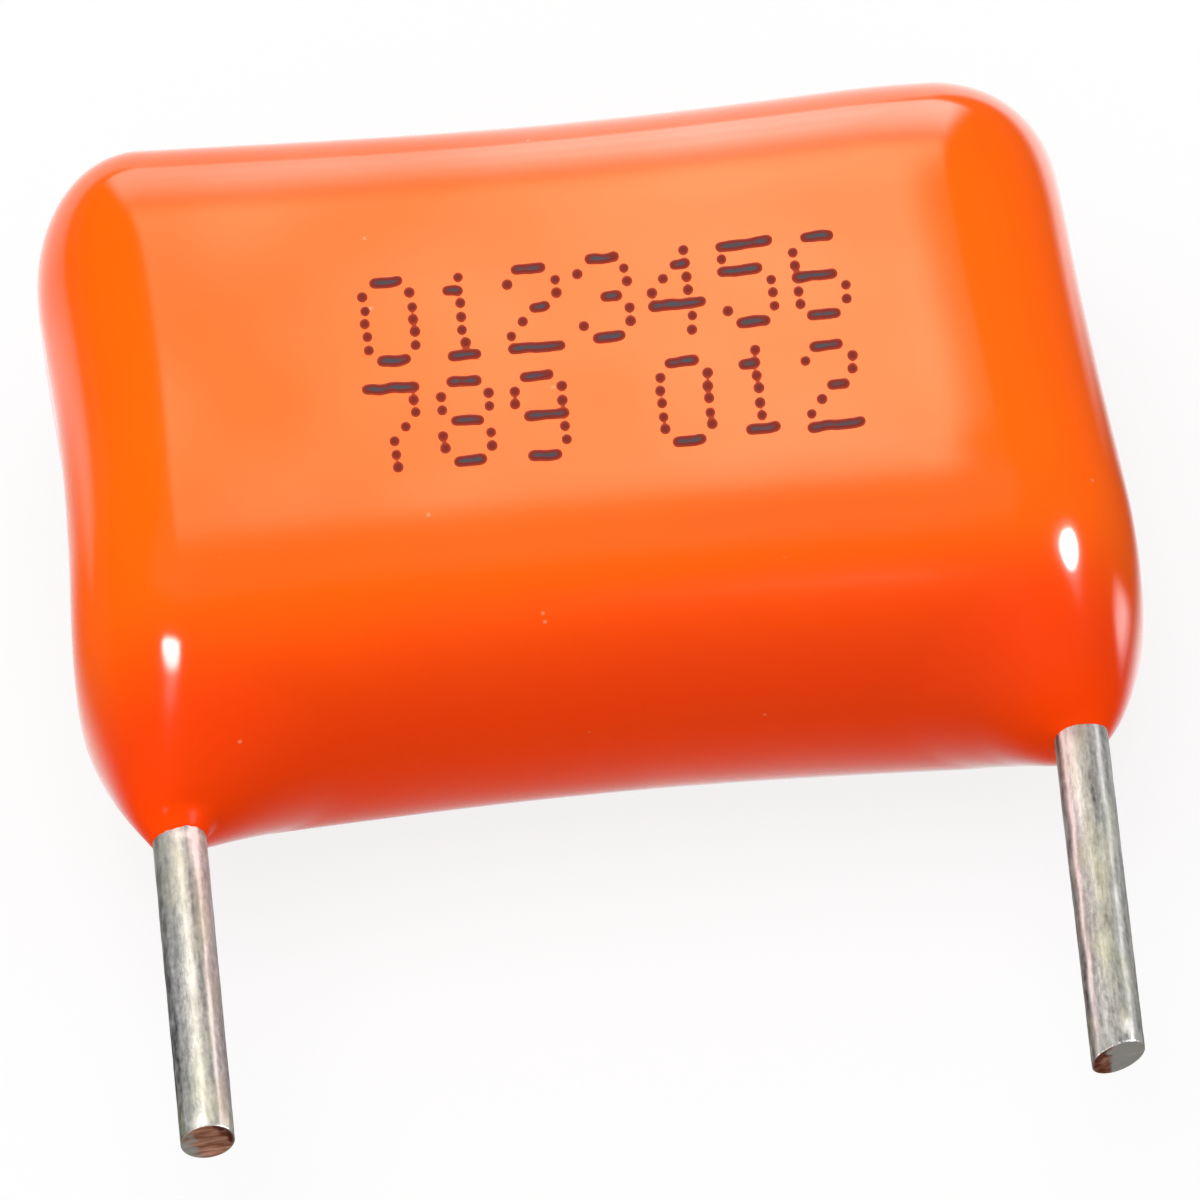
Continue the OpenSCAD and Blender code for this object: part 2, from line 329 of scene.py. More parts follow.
def buildCoat(s):
    shoulder = s["halfWidth"] - s["endRun"]
    # sections along the width, closer together near the wires
    endSteps, besideSteps, middleSteps = s["sections"]
    span = s["middleSpan"]
    turn = np.radians(np.linspace(0, 90, endSteps))[1:]
    middle = np.concatenate([
        np.linspace(-shoulder, -span, besideSteps),
        np.linspace(-span, span, middleSteps)[1:-1],
        np.linspace(span, shoulder, besideSteps),
    ])
    endX, endShare = shoulder + s["endRun"] * np.sin(turn), np.cos(turn)
    sectionX = np.concatenate([-endX[::-1], middle, endX])
    share = np.concatenate([endShare[::-1], np.ones(len(middle)), endShare])
    share[0] = share[-1] = 0
    left = sectionX < 0
    crownReach = s["crownRound"] - np.where(left, *s["crownDrop"]) * (1 - share)
    footReach = s["footRound"] - np.where(left, *s["footRise"]) * (1 - share)
    halfZ = s["halfThickness"] - s["faceDrop"] * (1 - share)
    # round the front of one section: crown arc, flat, foot arc
    power = 2 / s["edgeFull"]
    arcSteps, restSteps, flatSteps = s["ringSteps"]
    crownTurn = np.radians(np.linspace(0, 90, arcSteps))
    fine = np.arcsin(np.linspace(0, s["fineFoot"], arcSteps) ** (1 / power))
    footTurn = np.concatenate([fine, np.linspace(fine[-1], math.pi / 2, restSteps)[1:]])[::-1]
    crownCentre, footCentre = s["crownY"] - s["crownRound"], s["footRound"] - s["footY"]
    flat = np.linspace(crownCentre, footCentre, flatSteps)[1:-1]
    zeros = np.zeros_like
    cosC, sinC = np.cos(crownTurn) ** power, np.sin(crownTurn) ** power
    cosF, sinF = np.abs(np.cos(footTurn)) ** power, np.sin(footTurn) ** power
    cosC[-1] = cosF[0] = 0
    baseY = np.concatenate([0 * cosC + crownCentre, flat, 0 * cosF + footCentre])
    crownPart = np.concatenate([cosC, zeros(flat), zeros(cosF)])
    footPart = np.concatenate([zeros(cosC), zeros(flat), cosF])
    zPart = np.concatenate([sinC, 1 + zeros(flat), sinF])
    zPart[0] = zPart[-1] = 0
    half = len(baseY)
    y = baseY + crownReach[:, None] * crownPart - footReach[:, None] * footPart
    z = halfZ[:, None] * zPart
    ringY = np.concatenate([y, y[:, -2:0:-1]], 1)
    ringZ = np.concatenate([z, -z[:, -2:0:-1]], 1)
    ringX = sectionX[:, None] + 0 * ringY
    count, rows = ringY.shape[1], len(sectionX)
    xs, ys, zs = ringX.ravel(), ringY.ravel(), ringZ.ravel()
    faces = []
    for i in range(rows - 1):
        for k in range(count):
            a, b = i * count + k, i * count + (k + 1) % count
            faces.append((a, b, b + count, a + count))
    # close each end with a grid that runs from front to back
    steps = s["capSteps"]
    for row, outward in ((0, -1), (rows - 1, 1)):
        grid = np.zeros((half, steps + 1), int)
        extraY, extraZ = [], []
        for k in range(half):
            front = row * count + k
            behind = row * count + (count - k) % count
            if k in (0, half - 1):
                grid[k] = front
                continue
            grid[k, 0], grid[k, steps] = front, behind
            for j in range(1, steps):
                grid[k, j] = len(xs) + len(extraY)
                extraY.append(y[row, k])
                extraZ.append(z[row, k] * (1 - 2 * j / steps))
        xs = np.concatenate([xs, np.full(len(extraY), sectionX[row])])
        ys, zs = np.concatenate([ys, extraY]), np.concatenate([zs, extraZ])
        for k in range(half - 1):
            for j in range(steps):
                quad = [grid[k, j], grid[k + 1, j], grid[k + 1, j + 1], grid[k, j + 1]]
                quad = [int(q) for n, q in enumerate(quad) if q not in quad[:n]]
                if len(quad) > 2:
                    faces.append(tuple(quad if outward > 0 else quad[::-1]))
    x, y, z = flowCoat(s, xs, ys, zs)
    return np.stack([x, y + s["rollY"], z + s["middleZ"]], 1), faces


def coatMaterial(s):
    material, tree, surface, spot = startMaterial(
        "orangeEpoxy", IOR=1.5, Specular_IOR_Level=0.02, Coat_IOR=1.62, Coat_Roughness=0.12)
    places = addNode(tree, "SeparateXYZ", None, i0=spot).outputs
    patches = addGroup(tree, mottle, Vector=spot, Scale=260.0, Detail=2.0, Low=0.3, High=0.7)
    fine = addGroup(tree, mottle, Vector=spot, Scale=2600.0, Detail=3.0, Low=0.35, High=0.65)
    broad = addGroup(tree, mottle, Vector=spot, Scale=420.0, Detail=1.0, Low=0.3, High=0.7)
    peel = addGroup(tree, mottle, Vector=spot, Scale=700.0, Detail=1.5, Low=0.2, High=0.8)
    dust = addGroup(tree, dustSpecks, Vector=spot, Scale=2600.0, Size=0.09, Share=0.1)
    # painted shade: the orange turns darker and redder towards the foot, which the light reaches less
    along = addMath(tree, "ADD", places["Y"], swayBy(tree, patches, s["footShadeWander"]))
    footShade = remap(tree, along, 0.0, 1.0, *s["footShadeFrom"], smooth=True)
    base = mixColours(tree, patches.outputs["Mask"], *s["orange"])
    base = mixColours(tree, footShade, base, s["footShadeOrange"])
    base = tintBy(tree, dust.outputs["Mask"], 0.45, base, s["dustColour"])
    dull = addNode(tree, "Attribute", {"attribute_name": "dull"}).outputs["Fac"]
    roughness = remap(tree, fine.outputs["Mask"], *s["roughness"])
    roughness = addMath(tree, "ADD", roughness, addMath(tree, "MULTIPLY", dull, s["dullRoughness"]))
    # the clear skin is uneven, stronger at the right, and gone round the wires
    clear = remap(tree, places["X"], *s["clearWeight"], *s["clearFrom"], smooth=True)
    clear = addMath(tree, "ADD", clear, swayBy(tree, broad, s["clearUneven"]))
    clear = addMath(tree, "MULTIPLY", clear, remap(tree, dull, 1.0, 0.0))
    tree.links.new(clear, surface.inputs["Coat Weight"])
    grains = addMath(tree, "MULTIPLY", dust.outputs["Mask"], 0.12)
    height = addMath(tree, "ADD", peel.outputs["Value"], grains)
    finishMaterial(tree, surface, base, roughness, height, 0.25, 0.00003)
    return material


def addValues(piece, name, values):
    attribute = piece.data.attributes.new(name, "FLOAT", "POINT")
    attribute.data.foreach_set("value", np.asarray(values, np.float32))


def dullShare(s, points):
    # the skirt round each wire cured with a duller skin
    x, y, z = points[:, 0], points[:, 1] - s["rollY"], points[:, 2] - s["middleZ"]
    side = np.where(x > 0, 1, -1)
    leave = np.where(x > 0, s["exits"][1], s["exits"][0])
    away = np.sqrt((x - side * s["leadX"]) ** 2 + (y + leave) ** 2 + z**2)
    return smoothStep(s["dullGain"] * (1 - away / s["dullReach"]))


coatPoints, coatFaces = buildCoat(coatSettings)
coat = makePiece("epoxy_coat", coatPoints, coatFaces, [coatMaterial(coatSettings)])
addValues(coat, "dull", dullShare(coatSettings, coatPoints))
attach(coat, "root")
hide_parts("coating")
print("coat made:", len(coatFaces), "faces")


leadSettings = {
    "radius": coatSettings["wireRadius"],
    "sides": 72,
    "rows": 110,
    "taperSteps": 9,
    "flatThickness": 0.35,
    "flatWidth": 0.8,
    "taper": 0.7,
    "roundIn": 0.15,
    "weldTop": 1.4,
    "lumps": 0.0036,
    "lumpRise": 0.25,  # length over which the lumps set in below the skirt
    "names": ("left_lead", "right_lead"),
    "tips": (-6.2953, -6.505),  # where each wire ends along Y
    "seeds": (3.7, 41.3),
    "cutSlope": ((0.05, 0.05), (0.30, 0.0)),  # how far the cut falls back along X and along Z, in diameters
    "pinch": (0.04, 0.15),  # how much the cutter flattened the tip
    "pinchRun": 0.35,
    "burr": 0.012,
    "cutRings": (1.0, 0.965, 0.9, 0.8, 0.68, 0.55, 0.42, 0.28, 0.14),
    "rimSink": 0.004,
    "ridge": (0.016, 0.02),
    # painted highlights and painted shade in bands along each wire, for the reflections of its surroundings:
    # place across, half width, gain
    "paintedBands": (
        ((-0.88, 0.16, -0.33), (-0.5, 0.2, -0.06), (-0.06, 0.17, 0.22),
         (0.34, 0.16, -0.1), (0.58, 0.055, 0.6), (0.82, 0.1, -0.02)),
        ((-0.9, 0.1, -0.3), (-0.7, 0.07, 0.5), (-0.25, 0.12, 0.02),
         (0.15, 0.3, -0.17), (0.6, 0.07, 0.45), (0.85, 0.1, -0.08)),
    ),
    "bandPulse": 0.7,  # how unevenly a band shows along the wire
    "bandSway": 0.05,
    "paintedSheenUneven": 0.12,
    # tin that the cutter dragged over the copper, and the tarnish: along X, along Z, shift, wobble, sharpness
    "tinEdge": ((-1, -0.35, -0.45, 0.5, 3), (1, 0, 0.35, 0.5, 6)),
    "tarnishEdge": ((1, 0.5, -0.62, 0.4, 4), (0, 0, 0.75, 1, 1)),
    "tinRim": (0.93, 14),  # tin round the rim of the cut: from which share of the radius, sharpness
    # painted highlights in patches: place across, distance from the tip, half width, half length, gain
    "patches": (
        ((-0.25, 0.13, 0.3, 0.09, 0.45), (0.72, 0.12, 0.14, 0.1, 0.6),
         (0.55, 3.85, 0.22, 0.35, 0.5), (0.3, 3.93, 0.5, 0.05, 0.3)),
        ((0.45, 0.34, 0.17, 0.09, 0.7), (-0.45, 3.6, 0.2, 0.7, 0.5), (-0.5, 4.1, 0.15, 0.1, 0.3)),
    ),
    "tin": ((0.06, 0.06, 0.062), (0.43, 0.43, 0.42), (1.0, 0.98, 0.95)),  # painted shade, plain tin, painted highlight
    "tinStain": (0.66, 0.65, 0.47),
    "copper": ((0.46, 0.16, 0.08), (0.85, 0.45, 0.30)),
    "copperDark": (0.15, 0.028, 0.012),
    "smearedTin": (0.52, 0.50, 0.45),
}


def leadSection(s, roundness, angle):
    # from a flat rectangle to a circle
    c, d = math.cos(angle), math.sin(angle)
    circle = np.array([s["radius"] * c, s["radius"] * d])
    a, b = s["flatThickness"] / 2, s["flatWidth"] / 2
    reach = (abs(c / a) ** 10 + abs(d / b) ** 10) ** -0.1
    flat = np.array([c, d]) * reach
    return flat + (circle - flat) * roundness


def buildLead(s, n):
    side, leave = (-1, 1)[n], coatSettings["exits"][n]
    rollY, middleZ = coatSettings["rollY"], coatSettings["middleZ"]
    middleX, radius = side * coatSettings["leadX"], s["radius"]
    tip, seed, pinch = s["tips"][n], s["seeds"][n], s["pinch"][n]
    slopeX, slopeZ = s["cutSlope"][n]
    roundAt, rows, count = rollY - leave + s["roundIn"], s["rows"], s["sides"]
    angles = [2 * math.pi * k / count for k in range(count)]
    # place along Y, how round the section is, and whether the wire is lumpy there
    stations = [(rollY + s["weldTop"], 0.0, False)]
    stations += [(roundAt + s["taper"] * (1 - t), t, False) for t in np.linspace(0, 1, s["taperSteps"])]
    stations += [(roundAt + (tip - roundAt) * i / rows, 1.0, True) for i in range(1, rows)]

    def fallBack(x, z):
        # how far the cut lies behind the tip
        lean = slopeX * (x / radius + 1) / 2 + slopeZ * (z / radius + 1) / 2
        return lean * radius * 2

    points = []
    for y, roundness, lumpy in stations:
        for angle in angles:
            x, z = leadSection(s, roundness, angle)
            y2 = y
            if lumpy:
                where = Vector((x * 5, y * 3.2 + seed, z * 5))
                swell = noise.noise(where) + 0.6 * noise.noise(where * 2.7)
                risen = max(0.0, min(1.0, (roundAt - s["roundIn"] - y) / s["lumpRise"]))
                grow = 1 + risen * s["lumps"] * swell / radius
                flat = 1 - pinch * max(0.0, 1 - (y - tip) / s["pinchRun"]) ** 2
                x, z = x * grow, z * grow * flat
                edge = tip + fallBack(x, z) - s["burr"]
                y2 = roundAt + (y - roundAt) * (edge - roundAt) / (tip - roundAt)
            points.append((x + middleX, y2, z + middleZ))
    # the cut: a burred edge, then the face with its shear ridges
    cutStart = len(points)
    for share in s["cutRings"]:
        sink = s["rimSink"] if share == 1 else 0.0
        for angle in angles:
            x = radius * share * math.cos(angle)
            z = radius * share * math.sin(angle) * (1 - pinch)
            shear = math.sin(z * 62 + 2.2 * noise.noise(Vector((x * 4, seed, z * 4))))
            rough = noise.noise(Vector((x * 9 + seed, z * 22, 1.5)))
            lift = s["ridge"][n] * (0.35 * shear + 0.8 * rough) * min(1, (1 - share) * 9)
            points.append((x + middleX, tip + fallBack(x, z) + sink + abs(lift) * 0.9, z + middleZ))
    faces = []
    rings = len(stations) + len(s["cutRings"])
    for i in range(rings - 1):
        for k in range(count):
            a, b = i * count + k, i * count + (k + 1) % count
            faces.append((a, a + count, b + count, b))
    last, middleTip = (rings - 1) * count, len(points)
    points.append((middleX, tip + fallBack(0, 0), middleZ))
    faces += [(last + k, middleTip, last + (k + 1) % count) for k in range(count)]
    faces.append(tuple(range(count)))
    return np.array(points), faces, cutStart


def wireMaterial(s):
    material, tree, surface, spot = startMaterial("tinnedWire", Metallic=0.4)
    patches = addGroup(tree, mottle, Vector=spot, Stretch=(1, 0.5, 1),
                       Scale=21000.0, Detail=6.0, Low=0.34, High=0.64)
    streaks = addGroup(tree, mottle, Vector=spot, Stretch=(1, 0.08, 1),
                       Scale=14000.0, Detail=3.0, Low=0.35, High=0.7)
    stains = addGroup(tree, mottle, Vector=spot, Stretch=(1, 0.35, 1),
                      Scale=3000.0, Detail=3.0, Low=0.45, High=0.7)
    # the wire's colour runs from painted shade through plain tin to painted highlight, by the painted sheen
    paintedSheen = addNode(tree, "Attribute", {"attribute_name": "paintedSheen"}).outputs["Fac"]
    for rough in (patches, streaks):
        paintedSheen = addMath(tree, "ADD", paintedSheen, swayBy(tree, rough, s["paintedSheenUneven"]))
    dark, plain, bright = s["tin"]
    base = mixColours(tree, remap(tree, paintedSheen, 0.0, 1.0, 0.1, 0.5), dark, plain)
    base = mixColours(tree, remap(tree, paintedSheen, 0.0, 1.0, 0.5, 1.0), base, bright)
    base = tintBy(tree, stains.outputs["Mask"], 0.45, base, s["tinStain"])
    roughness = remap(tree, patches.outputs["Value"], 0.34, 0.5, 0.3, 0.7)
    drawn = addMath(tree, "MULTIPLY", streaks.outputs["Value"], 0.5)
    height = addMath(tree, "ADD", patches.outputs["Value"], drawn)
    finishMaterial(tree, surface, base, roughness, height, 0.8, 0.000016)
    return material


def copperMaterial(s):
    material, tree, surface, spot = startMaterial("cutCopper", Metallic=0.5)
    scratches = addGroup(tree, mottle, Vector=spot, Stretch=(0.18, 1, 1.6),
                         Scale=12000.0, Detail=4.0, Low=0.35, High=0.65)
    stains = addGroup(tree, mottle, Vector=spot, Scale=3600.0, Detail=3.0, Low=0.4, High=0.6)
    smear = addNode(tree, "Attribute", {"attribute_name": "tinSmear"}).outputs["Fac"]
    tarnish = addNode(tree, "Attribute", {"attribute_name": "tarnish"}).outputs["Fac"]
    dark = addMath(tree, "MAXIMUM", addMath(tree, "MULTIPLY", stains.outputs["Mask"], 0.3), tarnish)
    base = mixColours(tree, scratches.outputs["Mask"], *s["copper"])
    base = mixColours(tree, dark, base, s["copperDark"])
    base = mixColours(tree, smear, base, s["smearedTin"])
    roughness = remap(tree, scratches.outputs["Value"], 0.3, 0.5, 0.3, 0.7)
    finishMaterial(tree, surface, base, roughness, scratches.outputs["Value"], 0.6, 0.00001)
    return material


def paintedWireSheen(s, n, x, y):
    # painted highlights and painted shade for the wire's colour, in bands along it and in patches; 0.5 is
    # plain
    paintedSheen = np.full(len(x), 0.5)
    for k, (place, half, gain) in enumerate(s["paintedBands"][n]):
        sway = np.array([noise.noise(Vector((3.1 * k, v * 2.2, 9.0 + n))) for v in y])
        pulse = np.array([noise.noise(Vector((5.7 * k, v * 3.7, 2.0 + n))) for v in y])
        across = (x - place - s["bandSway"] * sway) / half
        paintedSheen += gain * (1 + s["bandPulse"] * pulse) * np.exp(-(across**2))
    back = y - s["tips"][n]
    for place, away, half, length, gain in s["patches"][n]:
        paintedSheen += gain * np.exp(-(((x - place) / half) ** 2) - ((back - away) / length) ** 2)
    return paintedSheen


def edgeShare(edge, x, z, wobble):
    alongX, alongZ, shift, ragged, sharp = edge
    return (alongX * x + alongZ * z + shift + ragged * wobble) * sharp


def addLead(s, n, materials):
    points, faces, faceStart = buildLead(s, n)
    lead = makePiece(s["names"][n] + "_wire", points, faces, materials)
    side = (-1, 1)[n]
    x = (points[:, 0] - side * coatSettings["leadX"]) / s["radius"]
    z = (points[:, 2] - coatSettings["middleZ"]) / s["radius"]
    wobble = np.array([noise.noise(Vector((a * 3, b * 3, 7.0 + n))) for a, b in zip(x, z)])
    rimFrom, rimSharp = s["tinRim"]
    tin = np.maximum(edgeShare(s["tinEdge"][n], x, z, wobble), (np.hypot(x, z) - rimFrom) * rimSharp)
    addValues(lead, "tinSmear", np.clip(tin, 0, 1))
    addValues(lead, "tarnish", np.clip(edgeShare(s["tarnishEdge"][n], x, z, wobble), 0, 1))
    # painted highlights and painted shade, carried to the wire's colour
    addValues(lead, "paintedSheen", paintedWireSheen(s, n, x, points[:, 1]))
    for polygon in lead.data.polygons:
        if min(polygon.vertices) >= faceStart:
            polygon.material_index = 1
    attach(lead, "root")
    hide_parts(s["names"][n])


leadMaterials = [wireMaterial(leadSettings), copperMaterial(leadSettings)]
for n in (0, 1):
    addLead(leadSettings, n, leadMaterials)
print("leads made")


digitDots = {
    "0": ("01110", "10001", "10001", "10001", "10001", "10001", "01110"),
    "1": ("00100", "01100", "00100", "00100", "00100", "00100", "01110"),
    "2": ("01110", "10001", "00001", "00110", "01000", "10000", "11111"),
    "3": ("01110", "10001", "00001", "00110", "00001", "10001", "01110"),
    "4": ("00010", "00110", "01010", "10010", "11111", "00010", "00010"),
    "5": ("11111", "10000", "11110", "00001", "00001", "10001", "01110"),
    "6": ("01110", "10000", "10000", "11110", "10001", "10001", "01110"),
    "7": ("11111", "00001", "00001", "00010", "00100", "00100", "00100"),
    "8": ("01110", "10001", "10001", "01110", "10001", "10001", "01110"),
    "9": ("01110", "10001", "10001", "01111", "00001", "00001", "01110"),
}

inkSettings = {
    "rows": ("0123456", "789 012"),
    "firstGlyph": ((-2.107, 2.711), (-2.175, 1.267)),  # middle of each row's first digit, in mm
    "pitch": (0.797, 0.808),
    "rowTurn": (0.13, -0.22),
    "dotAcross": 0.131,
    "dotUp": 0.179,
    "dotRadius": 0.057,
    "dotTall": 1.2,  # the drops spread a little along Y
    "dotFade": 1.2,  # how fast the ink thins out from a dot's middle
    "wander": 0.012,
    "wanderAlong": 0.6,  # the dots wander less along a row
    "drift": 0.03,  # how far a whole digit sits too high or too low
    "dotSizes": (0.92, 1.06),
    "grid": 0.011,
    "lift": 0.003,
    "swell": 0.004,
    "seed": 11,
    "thinInk": ((0.40, 0.04, 0.012), (0.17, 0.010, 0.004)),
    "fullInk": (0.05, 0.05, 0.066),
    "redInk": (0.10, 0.02, 0.02),
}


def inkDotPlaces(s):
    chance = random.Random(s["seed"])
    dots = []
    for row, text in enumerate(s["rows"]):
        turn = math.radians(s["rowTurn"][row])
        for place, digit in enumerate(text):
            if digit == " ":
                continue
            drift = chance.uniform(-s["drift"], s["drift"])
            for line, marks in enumerate(digitDots[digit]):
                slip = chance.uniform(-1, 1) * s["wander"]
                for column, mark in enumerate(marks):
                    if mark == "0":
                        continue
                    along = place * s["pitch"][row] + (column - 2) * s["dotAcross"] + slip
                    along += chance.uniform(-1, 1) * s["wander"] * s["wanderAlong"]
                    across = (3 - line) * s["dotUp"] + drift + chance.uniform(-1, 1) * s["wander"]
                    radius = s["dotRadius"] * chance.uniform(*s["dotSizes"])
                    x = s["firstGlyph"][row][0] + along * math.cos(turn) - across * math.sin(turn)
                    y = s["firstGlyph"][row][1] + along * math.sin(turn) + across * math.cos(turn)
                    dots.append((x, y, radius))
                    if marks[column:column + 2] == "11":
                        half = s["dotAcross"] / 2  # neighbours in a line run together
                        dots.append((x + half * math.cos(turn), y + half * math.sin(turn), radius * 0.95))
    return dots


def buildInk(s, dots, tree):
    # ink depth on a fine grid, then one quad for each covered cell, with the rim pulled onto the edge
    step = s["grid"]
    depth = {}
    reach = int(math.ceil(s["dotRadius"] * 2.2 / step))
    for x, y, radius in dots:
        ci, cj = round(x / step), round(y / step)
        for i in range(ci - reach, ci + reach + 1):
            for j in range(cj - reach, cj + reach + 1):
                far = ((i * step - x) ** 2 + ((j * step - y) / s["dotTall"]) ** 2) / radius**2
                depth[i, j] = depth.get((i, j), 0.0) + math.exp(-far * s["dotFade"])
    edge = math.exp(-s["dotFade"])
    cells = [(i, j) for (i, j), value in depth.items()
             if sum(depth.get(c, 0) for c in ((i, j), (i + 1, j), (i, j + 1), (i + 1, j + 1))) / 4 > edge]
    cells.sort()
    corners, used = {}, {}
    for i, j in cells:
        for c in ((i, j), (i + 1, j), (i + 1, j + 1), (i, j + 1)):
            used[c] = used.get(c, 0) + 1
            corners.setdefault(c, len(corners))
    points, thick = [None] * len(corners), [0.0] * len(corners)
    for (i, j), index in corners.items():
        x, y = i * step, j * step
        value = depth.get((i, j), 0)
        if used[i, j] < 4:
            gx = (depth.get((i + 1, j), 0) - depth.get((i - 1, j), 0)) / (2 * step)
            gy = (depth.get((i, j + 1), 0) - depth.get((i, j - 1), 0)) / (2 * step)
            slope = max(gx * gx + gy * gy, 1.0)
            move = max(-0.8 * step, min(0.8 * step, (edge - value) / math.sqrt(slope)))
            x, y = x + gx / math.sqrt(slope) * move, y + gy / math.sqrt(slope) * move
            value = edge
        thick[index] = max(0.0, value - edge)
        hit = tree.ray_cast(Vector((x, y, 10)) * mm, Vector((0, 0, -1)))[0]
        rise = s["lift"] + s["swell"] * (1 - math.exp(-4 * thick[index]))
        points[index] = (x, y, hit.z / mm + rise)
    faces = [tuple(corners[c] for c in ((i, j), (i + 1, j), (i + 1, j + 1), (i, j + 1))) for i, j in cells]
    # the underside, a little inside the coat, and the wall between
    count = len(points)
    under = [(x, y, z - s["lift"] * 2.2) for x, y, z in points]
    edges = {}
    for face in faces:
        for a, b in zip(face, face[1:] + face[:1]):
            edges[a, b] = 1
    wall = [(b, a, a + count, b + count) for a, b in edges if (b, a) not in edges]
    faces = faces + [tuple(v + count for v in face[::-1]) for face in faces] + wall
    return np.array(points + under), faces, thick + thick


def inkMaterial(s):
    material, tree, surface, spot = startMaterial("dottedInk", Specular_IOR_Level=0.12, IOR=1.45)
    thick = addNode(tree, "Attribute", {"attribute_name": "inkDepth"}).outputs["Fac"]
    patches = addGroup(tree, mottle, Vector=spot, Scale=9000.0, Detail=3.0, Low=0.35, High=0.65)
    base = mixColours(tree, remap(tree, thick, 0.0, 1.0, 0.0, 0.4), *s["thinInk"])
    base = mixColours(tree, remap(tree, thick, 0.0, 1.0, 0.74, 1.0), base, s["fullInk"])
    base = tintBy(tree, patches.outputs["Mask"], 0.18, base, s["redInk"])
    roughness = remap(tree, patches.outputs["Value"], 0.32, 0.48)
    finishMaterial(tree, surface, base, roughness, patches.outputs["Value"], 0.3, 0.000004)
    return material


coatTree = BVHTree.FromPolygons([v.co for v in coat.data.vertices], [p.vertices for p in coat.data.polygons])
inkPoints, inkFaces, inkThick = buildInk(inkSettings, inkDotPlaces(inkSettings), coatTree)
ink = makePiece("printed_digits", inkPoints, inkFaces, [inkMaterial(inkSettings)])
addValues(ink, "inkDepth", inkThick)
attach(ink, "root")
print("ink made:", len(inkFaces), "faces")


windingSettings = {
    "film": ((0.52, 0.54, 0.56), (0.74, 0.75, 0.76)),
    "crease": (0.42, 0.41, 0.38),
}

spraySettings = {
    "zinc": ((0.30, 0.31, 0.33), (0.48, 0.49, 0.51)),
    "grain": (0.62, 0.62, 0.63),
}


def windingMaterial(s):
    # edges of many turns of metallised film, pressed together
    material, tree, surface, spot = startMaterial("metallisedFilm", Metallic=0.85)
    turns = addGroup(tree, mottle, Vector=spot, Stretch=(0.03, 1, 1),
                     Scale=9000.0, Detail=3.0, Low=0.35, High=0.65)
    creases = addGroup(tree, mottle, Vector=spot, Stretch=(0.2, 1, 0.6),
                       Scale=1200.0, Detail=3.0, Low=0.45, High=0.6)
    base = mixColours(tree, turns.outputs["Mask"], *s["film"])
    base = tintBy(tree, creases.outputs["Mask"], 0.3, base, s["crease"])
    roughness = remap(tree, turns.outputs["Value"], 0.16, 0.34)
    finishMaterial(tree, surface, base, roughness, turns.outputs["Value"], 0.5, 0.00001)
    return material


def sprayMaterial(s):
    # grains of zinc that froze as they landed
    material, tree, surface, spot = startMaterial("sprayedZinc", Metallic=0.9)
    grains = addGroup(tree, dustSpecks, Vector=spot, Scale=14000.0, Size=0.7, Share=0.8)
    patches = addGroup(tree, mottle, Vector=spot, Scale=3500.0, Detail=5.0, Low=0.35, High=0.65)
    base = mixColours(tree, patches.outputs["Mask"], *s["zinc"])
    base = tintBy(tree, grains.outputs["Mask"], 0.5, base, s["grain"])
    roughness = remap(tree, patches.outputs["Value"], 0.5, 0.75)
    height = addMath(tree, "ADD", patches.outputs["Value"], grains.outputs["Mask"])
    finishMaterial(tree, surface, base, roughness, height, 0.8, 0.00004)
    return material


def dressNode(name, material):
    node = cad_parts[name]
    if not node.material_slots:
        node.data.materials.append(material)
    for materialSlot in node.material_slots:
        materialSlot.material = material


zinc = sprayMaterial(spraySettings)
dressNode("film_winding", windingMaterial(windingSettings))
dressNode("left_end_spray", zinc)
dressNode("right_end_spray", zinc)
print("inner pieces dressed")


studioSettings = {
    "floorSize": 6.0,  # in metres
    "floorDrop": 0.004,  # in mm, so that the floor and the part's underside don't meet
    "floorColour": (0.55, 0.55, 0.55),
    "floorGlow": 0.8,  # share of the floor's white that shadow can't darken
    "floorWhite": 1.06,
    "fill": 0.75,
    "shine": 0.02,  # what glossy surfaces see where nothing is hung
    "keySize": 0.34,
    "keyGlow": 3.0,
    "keyFrom": (-0.15, 0.1, 1.0),
    "keyDistance": 0.36,
    "partMiddle": (0, 0.001, 0.003),
    "warmColour": (1, 0.9, 0.6),
    # cards of light that only reflections see: direction, distance, width, height, glow
    "cards": {
        "leftStrip": ((-0.341, -0.775, 0.53), 0.3, 0.11, 0.05, 30),
        "leftHalo": ((-0.341, -0.775, 0.53), 0.31, 0.15, 0.08, 0.9),
        "rightStrip": ((0.855, -0.3, 0.45), 0.3, 0.115, 0.09, 30),
        "rightHalo": ((0.855, -0.3, 0.45), 0.31, 0.18, 0.16, 0.9),
    },
}


def addFloor(s):
    half = s["floorSize"] / mm / 2
    corners = [(x * half, y * half, -s["floorDrop"]) for x, y in ((-1, -1), (1, -1), (1, 1), (-1, 1))]
    floor = makePiece("floor", corners, [(0, 1, 2, 3)])
    material = bpy.data.materials.new("paleFloor")
    material.use_nodes = True
    tree = material.node_tree
    tree.nodes.remove(tree.nodes["Principled BSDF"])
    lit = addNode(tree, "BsdfDiffuse", None, Color=(*s["floorColour"], 1))
    glow = addNode(tree, "Emission", None, Color=(1, 1, 1, 1), Strength=s["floorWhite"])
    path = addNode(tree, "LightPath")
    seen = addMath(tree, "MAXIMUM", path.outputs["Is Camera Ray"], path.outputs["Is Glossy Ray"])
    seen = addMath(tree, "MAXIMUM", seen, path.outputs["Is Transmission Ray"])
    mix = addNode(tree, "MixShader", None, i0=addMath(tree, "MULTIPLY", seen, s["floorGlow"]))
    tree.links.new(lit.outputs[0], mix.inputs[1])
    tree.links.new(glow.outputs[0], mix.inputs[2])
    tree.links.new(mix.outputs[0], tree.nodes["Material Output"].inputs[0])
    floor.data.materials.append(material)


